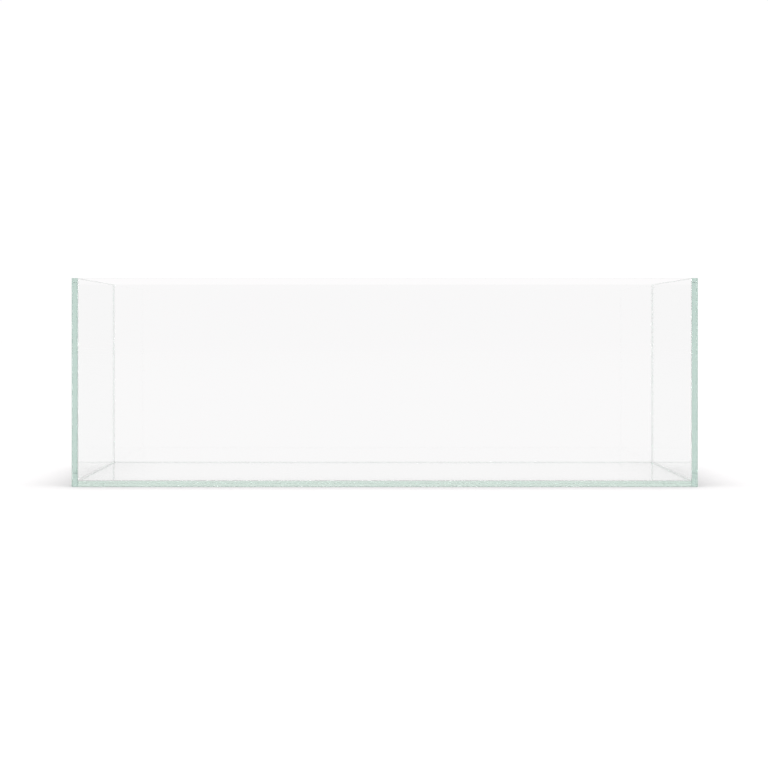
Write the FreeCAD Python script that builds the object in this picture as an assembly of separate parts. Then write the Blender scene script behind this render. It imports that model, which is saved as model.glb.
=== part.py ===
import FreeCAD, Part
import os

# A rimless, open-topped glass aquarium: five panes of float glass stuck together with silicone.
# The four walls stand round the base pane and carry on down to the ground beside it.
# The front and back panes run the full length, and the side panes are held between them.
# Millimetres, +Z up. The origin is the middle of the underside, and the front faces -Y.

# ---- driving dimensions ----
LENGTH = 900.0  # outside, left to right
DEPTH = 450.0  # outside, front to back
HEIGHT = 300.0  # ground to rim
GLASS = 8.0  # thickness of every pane
ARRIS = 0.5  # 45 degree chamfer ground along every pane edge
BOND = 1.0  # structural silicone between two panes
BEAD = 1.5  # leg of the silicone fillet inside each corner
BEAD_WAIST = 0.58  # distance of the hollow bead's middle from each of its two panes

# ---- planes that follow from them ----
OUT_X = LENGTH / 2
OUT_Y = DEPTH / 2
WALL_X = OUT_X - GLASS  # inner face of a side pane
WALL_Y = OUT_Y - GLASS  # inner face of the front or back pane
BASE_X = WALL_X - BOND
BASE_Y = WALL_Y - BOND
RIM_END = HEIGHT - ARRIS  # the silicone stops where the rim's arris begins

SIDES = {"left": -1, "right": 1}
FACES = {"front": -1, "back": 1}


def block(low, high):
    """A box between two opposite corners, given in any order."""
    corner = FreeCAD.Vector(*[min(a, b) for a, b in zip(low, high)])
    size = [abs(a - b) for a, b in zip(low, high)]
    return Part.makeBox(*size, corner)


def pane(low, high):
    """A cut pane with the arris ground along all twelve edges."""
    glass = block(low, high)
    return glass.makeChamfer(ARRIS, glass.Edges)


def outline(points):
    """A flat face with straight sides."""
    corners = [FreeCAD.Vector(*point) for point in points]
    return Part.Face(Part.makePolygon(corners + corners[:1]))


def plan_strip(near, far, width):
    """The plan of a strip along one wall, mitred at 45 degrees where it meets the next wall.

    near and far are the wall line's two ends, at the corners of the tank's inner rectangle.
    """
    inward_near = [c - width * (1 if c > 0 else -1) for c in near]
    inward_far = [c - width * (1 if c > 0 else -1) for c in far]
    return [near, far, inward_far, inward_near]


def mitred_prism(near, far, width, bottom, top):
    """The upright prism that stands on a mitred strip."""
    plan = [(x, y, bottom) for x, y in plan_strip(near, far, width)]
    return outline(plan).extrude(FreeCAD.Vector(0, 0, top - bottom))


def bead_face(corner, leg_a, leg_b):
    """The section of a bead: two straight legs on the glass, and a hollow arc left by the tool."""
    end_a = corner + leg_a * BEAD
    end_b = corner + leg_b * BEAD
    waist = corner + (leg_a + leg_b) * BEAD_WAIST
    edges = [
        Part.makeLine(corner, end_a),
        Part.Arc(end_a, waist, end_b).toShape(),
        Part.makeLine(end_b, corner),
    ]
    return Part.Face(Part.Wire(edges))


def wall_lines():
    """The four inner wall lines at the base, by name: the two ends and the direction inwards."""
    lines = {}
    for name, sign in FACES.items():
        ends = [(-WALL_X, sign * WALL_Y), (WALL_X, sign * WALL_Y)]
        lines[name] = ends + [FreeCAD.Vector(0, -sign, 0)]
    for name, sign in SIDES.items():
        ends = [(sign * WALL_X, -WALL_Y), (sign * WALL_X, WALL_Y)]
        lines[name] = ends + [FreeCAD.Vector(-sign, 0, 0)]
    return lines


def glass_panes():
    """The base pane, and the four walls that stand round it."""
    panes = {"base_pane": pane((-BASE_X, -BASE_Y, 0), (BASE_X, BASE_Y, GLASS))}
    for name, sign in FACES.items():
        panes[name + "_pane"] = pane((-OUT_X, sign * WALL_Y, 0), (OUT_X, sign * OUT_Y, HEIGHT))
    for name, sign in SIDES.items():
        panes[name + "_pane"] = pane((sign * WALL_X, -BASE_Y, 0), (sign * OUT_X, BASE_Y, HEIGHT))
    return panes


def corner_bond(side, face, side_pane):
    """The bond between a side pane's end and the pane across it, filling the inner arris too."""
    inner = (side * WALL_X, face * WALL_Y, ARRIS)
    outer = (side * (OUT_X - ARRIS), face * (WALL_Y - BOND - ARRIS), RIM_END)
    return block(inner, outer).cut(side_pane)


def base_bond(near, far, base_pane):
    """The bond between the base pane's edge and one wall, mitred at its ends."""
    return mitred_prism(near, far, BOND + ARRIS, ARRIS, GLASS).cut(base_pane)


def base_bead(near, far, inward):
    """The fillet of silicone along the foot of one wall, mitred at its ends."""
    start = FreeCAD.Vector(*near, GLASS)
    run = FreeCAD.Vector(*far, GLASS) - start
    fillet = bead_face(start, inward, FreeCAD.Vector(0, 0, 1)).extrude(run)
    return fillet.common(mitred_prism(near, far, BEAD, GLASS, GLASS + BEAD))


def corner_bead(side, face, base_beads):
    """The fillet of silicone up one inner corner, ending on the two base beads below it."""
    foot = FreeCAD.Vector(side * WALL_X, face * WALL_Y, GLASS)
    section = bead_face(foot, FreeCAD.Vector(-side, 0, 0), FreeCAD.Vector(0, -face, 0))
    fillet = section.extrude(FreeCAD.Vector(0, 0, RIM_END - GLASS))
    for bead in base_beads:
        fillet = fillet.cut(bead)
    return fillet


def silicone(panes):
    """All bonds and beads: one of each at every joint between two panes."""
    pieces = {}
    for name, (near, far, inward) in wall_lines().items():
        pieces["bond_base_" + name] = base_bond(near, far, panes["base_pane"])
        pieces["bead_base_" + name] = base_bead(near, far, inward)
    for face_name, face in FACES.items():
        for side_name, side in SIDES.items():
            corner = face_name + "_" + side_name
            below = [pieces["bead_base_" + face_name], pieces["bead_base_" + side_name]]
            pieces["bond_" + corner] = corner_bond(side, face, panes[side_name + "_pane"])
            pieces["bead_" + corner] = corner_bead(side, face, below)
    return pieces


def single_solid(name, shape):
    """The one solid that a piece must be, checked before it is written."""
    solids = shape.Solids
    if len(solids) != 1 or not solids[0].isValid():
        raise ValueError(name + " isn't one valid solid")
    return solids[0]


panes = glass_panes()
pieces = {**panes, **silicone(panes)}
os.makedirs("parts", exist_ok=True)
for name, shape in pieces.items():
    solid = single_solid(name, shape)
    solid.exportStep("parts/" + name + ".step")
    print(f"{name}: {solid.Volume:.0f} mm3")
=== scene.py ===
import math

import bpy
import numpy as np
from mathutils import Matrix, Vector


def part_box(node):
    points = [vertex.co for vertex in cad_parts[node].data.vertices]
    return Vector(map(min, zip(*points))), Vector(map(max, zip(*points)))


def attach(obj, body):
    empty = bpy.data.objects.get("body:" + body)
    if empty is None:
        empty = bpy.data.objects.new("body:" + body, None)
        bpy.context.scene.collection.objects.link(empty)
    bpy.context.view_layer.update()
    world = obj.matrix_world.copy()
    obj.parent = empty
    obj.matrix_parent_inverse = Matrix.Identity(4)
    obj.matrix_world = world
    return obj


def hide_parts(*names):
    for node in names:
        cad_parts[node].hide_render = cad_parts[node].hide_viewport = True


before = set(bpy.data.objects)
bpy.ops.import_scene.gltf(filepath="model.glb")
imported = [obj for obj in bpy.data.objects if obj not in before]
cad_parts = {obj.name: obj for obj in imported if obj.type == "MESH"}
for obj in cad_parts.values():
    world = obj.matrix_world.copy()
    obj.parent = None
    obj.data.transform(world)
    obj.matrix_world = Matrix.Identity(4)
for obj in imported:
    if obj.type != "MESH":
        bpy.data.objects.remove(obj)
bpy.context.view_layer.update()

# The camera stands in front of the tank, a little left of its middle and below its rim, and looks
# straight back, so that the uprights stay parallel: the lens is shifted down instead of tilted.

CAMERA_PLACE = (-0.0197, -3.263, 0.226)
CAMERA_LENS = 99.1
CAMERA_SHIFT = (0.0169, -0.0709)

camera_data = bpy.data.cameras.new("camera")
camera_data.sensor_width = 36.0
camera_data.lens = CAMERA_LENS
camera_data.shift_x, camera_data.shift_y = CAMERA_SHIFT
camera = bpy.data.objects.new("camera", camera_data)
camera.location = CAMERA_PLACE
camera.rotation_euler = (math.pi / 2, 0.0, 0.0)
bpy.context.scene.collection.objects.link(camera)
bpy.context.scene.camera = camera

# The panes: five sheets of 8 mm low-iron float glass, each cut and then ground flat and polished
# along its edge, with a fine arris on both sides and its corners dubbed. The faces keep the float
# line's very slight draw. The glass is greyed a little, painted shade on all that is seen through it,
# and the base's glass has a lighter tint than the walls', which is painted light along its edges.

ARRIS = 0.0005
EASE = 0.0002
DUBBED_CORNER = 0.00085
EASE_STEPS = 3
CORNER_STEPS = 6
GLASS_IOR = 1.52
# The glass's colour is a light grey: painted shade on all that is seen through it, standing in for the
# dimmer room behind the tank.
GLASS_PAINTED_SHADE = (0.965, 0.965, 0.965, 1.0)
GLASS_DENSITY = 4.0
WALL_TINT = (0.7125, 0.850, 0.800)
# The base's tint is lighter than the walls': painted light along the base's edges.
BASE_TINT_PAINTED_LIGHT = (0.845, 0.93, 0.885)
DRAW_SCALE = (5.0, 5.0, 11.0)
DRAW_DEPTH = 0.00001
POLISH_SCALE = (3.0, 7000.0, 1.0)
POLISH_DEPTH = 0.0000001
ARRIS_ROUGHNESS = 0.05
EDGE_SHARE = 0.3
SHARP_TURN = math.radians(30.0)
PANES = {"base_pane": 2, "front_pane": 1, "back_pane": 1, "left_pane": 0, "right_pane": 0}


class Field:
    """A value over a surface: it wraps a node's output, and sums and products add Math nodes."""

    def __init__(self, tree, socket=None):
        self.tree = tree
        self.socket = socket

    def node(self, kind, sockets, output=0, **settings):
        """Adds any node: its settings first, then a number or a link for each of its sockets."""
        made = self.tree.nodes.new(kind)
        for key, value in settings.items():
            setattr(made, key, value)
        for key, value in sockets.items():
            if isinstance(value, Field):
                self.tree.links.new(value.socket, made.inputs[key])
            else:
                made.inputs[key].default_value = value
        return Field(self.tree, made.outputs[output] if made.outputs else None)

    def maths(self, operation, first, second):
        return self.node("ShaderNodeMath", {0: first, 1: second}, operation=operation)

    def __add__(self, other):
        return self.maths("ADD", self, other)

    def __radd__(self, other):
        return self.maths("ADD", other, self)

    def __mul__(self, other):
        return self.maths("MULTIPLY", self, other)

    def __rmul__(self, other):
        return self.maths("MULTIPLY", other, self)


def new_finish(name):
    """An empty material, and the Field that its nodes start from."""
    material = bpy.data.materials.new(name)
    material.use_nodes = True
    material.node_tree.nodes.clear()
    return material, Field(material.node_tree)


def clear_finish(start, surface, colour, density):
    """Ends a clear material with its surface, and with the tint that builds up with depth."""
    volume = start.node("ShaderNodeVolumeAbsorption", {"Color": (*colour, 1.0), "Density": density})
    start.node("ShaderNodeOutputMaterial", {"Surface": surface, "Volume": volume})


def stretched_noise(start, place, scale, detail):
    """Noise on the given coordinates, after each is multiplied by its own scale."""
    stretched = start.node("ShaderNodeMapping", {"Vector": place, "Scale": scale})
    return start.node("ShaderNodeTexNoise", {"Vector": stretched, "Scale": 1.0, "Detail": detail})


def float_glass(name, tint):
    """Float glass: a faint draw in the faces, and polishing lines along the ground edge and arris."""
    material, start = new_finish(name)
    ground = start.node("ShaderNodeAttribute", {}, output="Fac", attribute_name="ground")
    along = start.node("ShaderNodeUVMap", {}, uv_map="along")
    place = start.node("ShaderNodeTexCoord", {}, output="Object")
    draw = stretched_noise(start, place, DRAW_SCALE, 1.0)
    lines = stretched_noise(start, along, POLISH_SCALE, 3.0)
    relief = draw * DRAW_DEPTH + lines * ground * POLISH_DEPTH
    normal = start.node("ShaderNodeBump", {"Height": relief, "Distance": 1.0, "Strength": 1.0})
    surface = start.node("ShaderNodeBsdfPrincipled", {
        "Base Color": GLASS_PAINTED_SHADE,
        "Roughness": ground * ARRIS_ROUGHNESS,
        "IOR": GLASS_IOR,
        "Transmission Weight": 1.0,
        "Normal": normal,
    })
    clear_finish(start, surface, tint, GLASS_DENSITY)
    return material


def running_length(points):
    """Distance from the first point to each point, added up from one to the next."""
    steps = np.linalg.norm(np.diff(points, axis=0), axis=1)
    return np.concatenate([[0.0], np.cumsum(steps)])


def shell(name, rings, attribute, values, normals=None):
    """A closed surface through rings of points, shape (rings, points, 3).

    Quads join each ring to the next, and a flat many-sided face closes the first and the last. The UV
    map holds the distance round the ring and the distance from ring to ring, in metres. values are the
    attribute's, one for each ring and point. The points are taken the other way round where the faces
    would point inwards. normals are exact ones, one for each point; without them, turns of more than
    30 degrees are sharp and the rest is smooth.
    """
    count, around = rings.shape[:2]
    values = np.broadcast_to(values, (count, around))
    middle = rings[count // 2]
    facing = np.cross(np.roll(middle, -1, axis=0) - middle, rings[count // 2 + 1] - middle)
    if np.sum(facing * (middle - middle.mean(axis=0))) < 0:
        rings, values = rings[:, ::-1], values[:, ::-1]
        normals = None if normals is None else normals[:, ::-1]
    ring, point = np.meshgrid(np.arange(count - 1), np.arange(around), indexing="ij")
    here = ring * around + point
    beside = ring * around + (point + 1) % around
    quads = np.stack([here, beside, beside + around, here + around], axis=-1).reshape(-1, 4)
    first = np.arange(around)[::-1]
    last = np.arange(around) + (count - 1) * around
    mesh = bpy.data.meshes.new(name)
    mesh.from_pydata(rings.reshape(-1, 3).tolist(), [], quads.tolist() + [first.tolist(), last.tolist()])

    middle = rings[count // 2]
    round_it = running_length(np.vstack([middle, middle[:1]]))
    across = running_length(rings.mean(axis=1)) + running_length(rings[:, 0])
    quad_u = np.stack([round_it[point], round_it[point + 1], round_it[point + 1], round_it[point]], axis=-1)
    quad_v = np.stack([across[ring], across[ring], across[ring + 1], across[ring + 1]], axis=-1)
    uv = np.zeros((len(mesh.loops), 2), np.float32)
    uv[:quads.size] = np.stack([quad_u, quad_v], axis=-1).reshape(-1, 2)
    mesh.uv_layers.new(name="along").data.foreach_set("uv", uv.ravel())
    layer = mesh.attributes.new(attribute, "FLOAT", "POINT")
    layer.data.foreach_set("value", values.astype(np.float32).ravel())

    if normals is None:
        mesh.set_sharp_from_angle(angle=SHARP_TURN)
        mesh.polygons.foreach_set("use_smooth", np.arange(len(mesh.polygons)) < len(quads))
    else:
        mesh.normals_split_custom_set_from_vertices(normals.reshape(-1, 3).tolist())
    mesh.update()
    made = bpy.data.objects.new(name, mesh)
    bpy.context.scene.collection.objects.link(made)
    return made


def ground_edge(thickness):
    """The pane's edge from face to face: inset from the outline, depth, and turn from the face.

    Three flats, the arris, the edge and the other arris, meet at turns of 45 degrees. Each turn is
    eased by an arc, which starts EASE * tan(22.5 degrees) before it.
    """
    corners = np.array([(ARRIS, 0.0), (0.0, ARRIS), (0.0, thickness - ARRIS), (ARRIS, thickness)])
    before = np.radians([0.0, 45.0, 90.0, 135.0])[:, None]
    turn = before + np.linspace(0.0, math.pi / 4, EASE_STEPS + 1)
    back = EASE * math.tan(math.pi / 8)
    inset = corners[:, :1] + back * np.cos(before) + EASE * (np.sin(before) - np.sin(turn))
    depth = corners[:, 1:] - back * np.sin(before) + EASE * (np.cos(before) - np.cos(turn))
    return inset.ravel(), depth.ravel(), turn.ravel()


def dubbed_corners():
    """For each point round a pane: its corner's signs, and the angle on that corner's quarter circle."""
    quarter = np.linspace(0.0, math.pi / 2, CORNER_STEPS + 1)
    angle = (quarter + np.arange(4)[:, None] * math.pi / 2).ravel()
    corner = np.repeat([[1, 1], [-1, 1], [-1, -1], [1, -1]], len(quarter), axis=0)
    return corner, angle


def pane(node, through):
    """A pane in the place of a CAD node.

    Each ring is the outline drawn in by the edge's inset, at the edge's depth: a rectangle with a
    quarter circle at each corner. The normal turns from the face's to the outline's and back. The
    ground attribute is |sin(2 turn)| + EDGE_SHARE * sin(turn) squared: none on the faces, EDGE_SHARE
    on the edge, and most on the arrises.
    """
    low, high = (np.array(corner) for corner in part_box(node))
    centre, half = (low + high) / 2, (high - low) / 2
    a, b = (through + 1) % 3, (through + 2) % 3
    inset, depth, turn = (column[:, None] for column in ground_edge(2 * half[through]))
    corner, angle = dubbed_corners()
    radius = DUBBED_CORNER - inset
    rings = np.empty((len(inset), len(angle), 3))
    rings[..., a] = centre[a] + corner[:, 0] * (half[a] - DUBBED_CORNER) + radius * np.cos(angle)
    rings[..., b] = centre[b] + corner[:, 1] * (half[b] - DUBBED_CORNER) + radius * np.sin(angle)
    rings[..., through] = low[through] + depth
    normals = np.empty_like(rings)
    normals[..., a] = np.sin(turn) * np.cos(angle)
    normals[..., b] = np.sin(turn) * np.sin(angle)
    normals[..., through] = -np.cos(turn)
    ground = np.abs(np.sin(2 * turn)) + EDGE_SHARE * np.sin(turn) ** 2
    made = shell(node.replace("pane", "glass"), rings, "ground", ground, normals)
    made.data.materials.append(base_glass if node == "base_pane" else wall_glass)
    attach(made, "root")
    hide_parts(node)
    return made


wall_glass = float_glass("low_iron_float_glass", WALL_TINT)
# The base's glass takes the lighter tint, which is painted light along its edges.
base_glass = float_glass("base_float_glass_painted_lighter", BASE_TINT_PAINTED_LIGHT)
panes = {node: pane(node, through) for node, through in PANES.items()}

# The structural bonds: 1 mm of clear silicone between a pane's edge and the pane beside it, pressed
# out flush with the inner arris. It wets the glass, so it runs a hair into both panes here. Its
# outer side is bare and a little cloudy, and sinks between the arrises in a hollow.

WET = 0.00005
BOND = 0.001
BOND_HOLLOW = 0.00035
HOLLOW_WANDER = 0.5
BOND_POINTS = 7
BOND_CLOUD = 0.2
STATION = 0.004
SILICONE_IOR = 1.41
SILICONE_WHITE = (0.97, 0.98, 0.975, 1.0)
SILICONE_TINT = (0.60, 0.70, 0.65)
SILICONE_DENSITY = 2.0
STREAK_SCALE = (3000.0, 60.0, 1.0)
SATIN = 0.12
CLOUD_WHITE = (0.97, 0.97, 0.97, 1.0)
WAVES = ((0.19, 0.5), (0.071, 0.35), (0.023, 0.15))
WALLS = {"front": (1, -1), "back": (1, 1), "left": (0, -1), "right": (0, 1)}
CORNERS = {"front_left": (-1, -1), "front_right": (1, -1), "back_left": (-1, 1), "back_right": (1, 1)}

# The silicone fills the room between the walls' inner faces, up to where the rim's arris begins.
RIM_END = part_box("front_pane")[1][2] - ARRIS
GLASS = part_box("base_pane")[1][2]
INNER = np.array([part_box("right_pane")[0][0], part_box("back_pane")[0][1]])


def silicone():
    """Clear cured silicone. Where it is bare it is cloudy, and satin in drawn-out streaks.

    The cloud spreads light back from outside and lets it through from inside, so it is light from both.
    """
    material, start = new_finish("clear_silicone")
    cloud = start.node("ShaderNodeAttribute", {}, output="Fac", attribute_name="cloud")
    along = start.node("ShaderNodeUVMap", {}, uv_map="along")
    streaks = stretched_noise(start, along, STREAK_SCALE, 3.0)
    clear = start.node("ShaderNodeBsdfPrincipled", {
        "Base Color": SILICONE_WHITE,
        "Roughness": cloud * (SATIN + streaks * SATIN),
        "IOR": SILICONE_IOR,
        "Transmission Weight": 1.0,
    })
    inside = start.node("ShaderNodeNewGeometry", {}, output="Backfacing")
    turned_back = start.node("ShaderNodeBsdfDiffuse", {"Color": CLOUD_WHITE})
    let_through = start.node("ShaderNodeBsdfTranslucent", {"Color": CLOUD_WHITE})
    milky = start.node("ShaderNodeMixShader", {0: inside, 1: turned_back, 2: let_through})
    surface = start.node("ShaderNodeMixShader", {0: cloud, 1: clear, 2: milky})
    clear_finish(start, surface, SILICONE_TINT, SILICONE_DENSITY)
    return material


def wander(length, seed):
    """A smooth random wander between about -1 and 1: a sum of sines with random starts."""
    starts = np.random.default_rng(seed).uniform(0, 2 * math.pi, len(WAVES))
    return sum(size * np.sin(2 * math.pi * length / wave + at) for (wave, size), at in zip(WAVES, starts))


def bond_section(length, seed):
    """The bond's section at each station: distances through the pane from its inner face, and across.

    The section is flat on three sides. The outer side sinks by a parabola, which is nothing at both
    panes and the wandering hollow in the middle of the gap.
    """
    hollow = BOND_HOLLOW * (1.0 + HOLLOW_WANDER * wander(length, seed))
    flat_through = [-WET, -WET, 0.0, ARRIS]
    flat_across = [-WET, BOND + ARRIS + WET, BOND + ARRIS + WET, BOND + WET]
    gap = np.linspace(BOND + WET, -WET, BOND_POINTS)
    dip = np.clip(1.0 - (2.0 * gap / BOND - 1.0) ** 2, 0.0, 1.0)
    through = np.hstack([np.tile(flat_through, (len(hollow), 1)), GLASS - ARRIS - hollow[:, None] * dip])
    across = np.tile(np.concatenate([flat_across, gap]), (len(hollow), 1))
    cloud = np.concatenate([np.zeros(len(flat_across)), np.where(dip > 0, BOND_CLOUD, 0.0)])
    return through, across, cloud


def silicone_piece(node, rings, cloud):
    made = shell(node + "_silicone", rings, "cloud", cloud)
    made.data.materials.append(clear_silicone)
    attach(made, "root")
    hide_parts(node)


def stations(length):
    """Places STATION apart or nearly so, over a length about zero."""
    return np.linspace(-length / 2, length / 2, max(2, round(length / STATION)) + 1)


def foot_run(wall, share, out, height):
    """Rings along a wall's foot, mitred: a point ends as far from the next walls as it is from its own.

    share is each station's place, from -1 at one end to 1 at the other, and out is the distance from
    the wall.
    """
    axis, sign = WALLS[wall]
    rings = np.empty((*out.shape, 3))
    rings[..., 1 - axis] = share[:, None] * (INNER[1 - axis] + WET - out)
    rings[..., axis] = sign * (INNER[axis] - out)
    rings[..., 2] = height
    return rings


def upright_run(corner, along_side, along_face, height):
    """Rings up an inner corner, from distances to its side pane and to its front or back pane."""
    side_sign, face_sign = CORNERS[corner]
    x = side_sign * (INNER[0] - along_side)
    y = face_sign * (INNER[1] - along_face)
    return np.stack([x, y, height], axis=-1)


clear_silicone = silicone()
seed = 0
for corner in CORNERS:
    seed += 1
    z = stations(RIM_END - ARRIS) + (RIM_END + ARRIS) / 2
    through, across, cloud = bond_section(z, seed)
    height = np.broadcast_to(z[:, None], across.shape)
    silicone_piece("bond_" + corner, upright_run(corner, -through, across, height), cloud)

for wall, (axis, sign) in WALLS.items():
    seed += 1
    length = stations(2 * INNER[1 - axis])
    through, across, cloud = bond_section(length, seed)
    rings = foot_run(wall, length / INNER[1 - axis], across, GLASS - through)
    silicone_piece("bond_base_" + wall, rings, cloud)

# The sealing beads: a fillet of the same clear silicone in every inner corner, drawn along with a
# finger or a round tool, which leaves it hollow and a little uneven. They run into each other at
# the base's corners, and up the four uprights to just under the rim.

BEAD = 0.0015
BEAD_WAIST = 0.00058
BEAD_STEPS = 8
BEAD_CLOUD = 0.6
BEAD_MEAN = 0.94
BEAD_WANDER = 0.06
WAIST_WANDER = 0.04
WAIST_SEEDS = 50
BEAD_TAIL = 0.004
TAIL_END = 0.98


def hollow_arc(leg, waist):
    """Centre distance and radius of the arc through (leg, 0), (waist, waist) and (0, leg)."""
    centre = (leg ** 2 - 2 * waist ** 2) / (2 * (leg - 2 * waist))
    return centre, math.sqrt(2) * (centre - waist)


def bead_section(length, seed, taper=1.0):
    """The bead's section at each station, as distances from its two panes: an arc between two legs.

    The legs and the waist wander along the length, and taper multiplies both.
    """
    leg = BEAD * (BEAD_MEAN + BEAD_WANDER * wander(length, seed)) * taper
    waist = leg * (BEAD_WAIST / BEAD) * (1.0 + WAIST_WANDER * wander(length, seed + WAIST_SEEDS))
    centre, radius = hollow_arc(leg, waist)
    first = np.arctan2(-centre, leg - centre)
    last = np.arctan2(leg - centre, -centre)
    angle = first[:, None] + (last - first)[:, None] * np.linspace(0.0, 1.0, BEAD_STEPS + 1)
    a = centre[:, None] + radius[:, None] * np.cos(angle)
    b = centre[:, None] + radius[:, None] * np.sin(angle)
    wet = np.full((len(leg), 1), -WET)
    tip = leg[:, None]
    a = np.hstack([wet, tip, a, wet])
    b = np.hstack([wet, wet, b, tip])
    cloud = np.concatenate([[0.0, 0.0], np.full(BEAD_STEPS + 1, BEAD_CLOUD), [0.0]])
    return a, b, cloud


def bead_height(distance):
    """How far the base bead's hollow face stands above the base at a distance from the wall."""
    centre, radius = hollow_arc(BEAD, BEAD_WAIST)
    d = np.clip(distance, 0.0, BEAD)
    return centre - np.sqrt(radius ** 2 - (centre - d) ** 2)


for wall, (axis, sign) in WALLS.items():
    seed += 1
    length = stations(2 * INNER[1 - axis])
    a, b, cloud = bead_section(length, seed)
    silicone_piece("bead_base_" + wall, foot_run(wall, length / INNER[1 - axis], a, GLASS + b), cloud)

for corner in CORNERS:
    seed += 1
    z = stations(RIM_END - GLASS) + (RIM_END + GLASS) / 2
    tail = np.clip((z - RIM_END + BEAD_TAIL) / BEAD_TAIL, 0.0, TAIL_END)
    a, b, cloud = bead_section(z, seed, np.sqrt(1.0 - tail ** 2))
    foot = GLASS + bead_height(np.minimum(a, b)) - 4 * WET
    silicone_piece("bead_" + corner, upright_run(corner, a, b, np.maximum(z[:, None], foot)), cloud)

# The studio: a sheet of pale paper, lit until it is white, that fades into a white room all round. The
# wide soft light above falls on the paper alone, and draws the tank's soft shadow. Glass stops a lamp's
# light outright here, so the base and back panes cast no shadow: the floor seen past them stays light.

FLOOR_DROP = 0.0003
FLOOR_HALF = 30.0
FADE_START = 5.0
PAPER_REFLECTANCE = 0.4
ROOM_COLOUR = (1.027, 1.012, 1.018)
OVERHEAD_SHARE = 0.61
OVERHEAD_WIDTH = math.radians(36.0)
OVERHEAD_TILT = math.radians(3.5)
BOUNCES = 256
SURE_BOUNCES = 64

floor_mesh = bpy.data.meshes.new("floor")
floor_corners = [(-FLOOR_HALF, -FLOOR_HALF), (FLOOR_HALF, -FLOOR_HALF),
                 (FLOOR_HALF, FLOOR_HALF), (-FLOOR_HALF, FLOOR_HALF)]
floor_mesh.from_pydata([(x, y, -FLOOR_DROP) for x, y in floor_corners], [], [(0, 1, 2, 3)])
floor = bpy.data.objects.new("floor", floor_mesh)
bpy.context.scene.collection.objects.link(floor)
paper, start = new_finish("white_paper")
place = start.node("ShaderNodeTexCoord", {}, output="Object")
distance = start.node("ShaderNodeVectorMath", {0: place}, output="Value", operation="LENGTH")
fade = start.node("ShaderNodeMapRange", {
    "Value": distance, "From Min": FADE_START, "From Max": FLOOR_HALF})
matt = start.node("ShaderNodeBsdfDiffuse", {"Color": (*[PAPER_REFLECTANCE] * 3, 1.0)})
gone = start.node("ShaderNodeBsdfTransparent", {})
surface = start.node("ShaderNodeMixShader", {0: fade, 1: matt, 2: gone})
start.node("ShaderNodeOutputMaterial", {"Surface": surface})
floor_mesh.materials.append(paper)

world = bpy.data.worlds.new("studio")
world.use_nodes = True
world.node_tree.nodes["Background"].inputs["Color"].default_value = (*ROOM_COLOUR, 1.0)
bpy.context.scene.world = world

lamp = bpy.data.lights.new("overhead", "SUN")
lamp.angle = OVERHEAD_WIDTH
lamp.energy = OVERHEAD_SHARE / PAPER_REFLECTANCE * math.pi
lamp.color = ROOM_COLOUR
lamp.cycles.use_multiple_importance_sampling = False
overhead = bpy.data.objects.new("overhead", lamp)
overhead.rotation_euler = (OVERHEAD_TILT, 0.0, 0.0)
bpy.context.scene.collection.objects.link(overhead)
lit = bpy.data.collections.new("lit_by_overhead")
lit.objects.link(floor)
overhead.light_linking.receiver_collection = lit
panes["base_pane"].visible_shadow = False
panes["back_pane"].visible_shadow = False

scene = bpy.context.scene
scene.view_settings.view_transform = "Standard"
scene.cycles.max_bounces = BOUNCES
scene.cycles.glossy_bounces = BOUNCES
scene.cycles.transmission_bounces = BOUNCES
scene.cycles.min_light_bounces = SURE_BOUNCES
scene.cycles.blur_glossy = 0.0
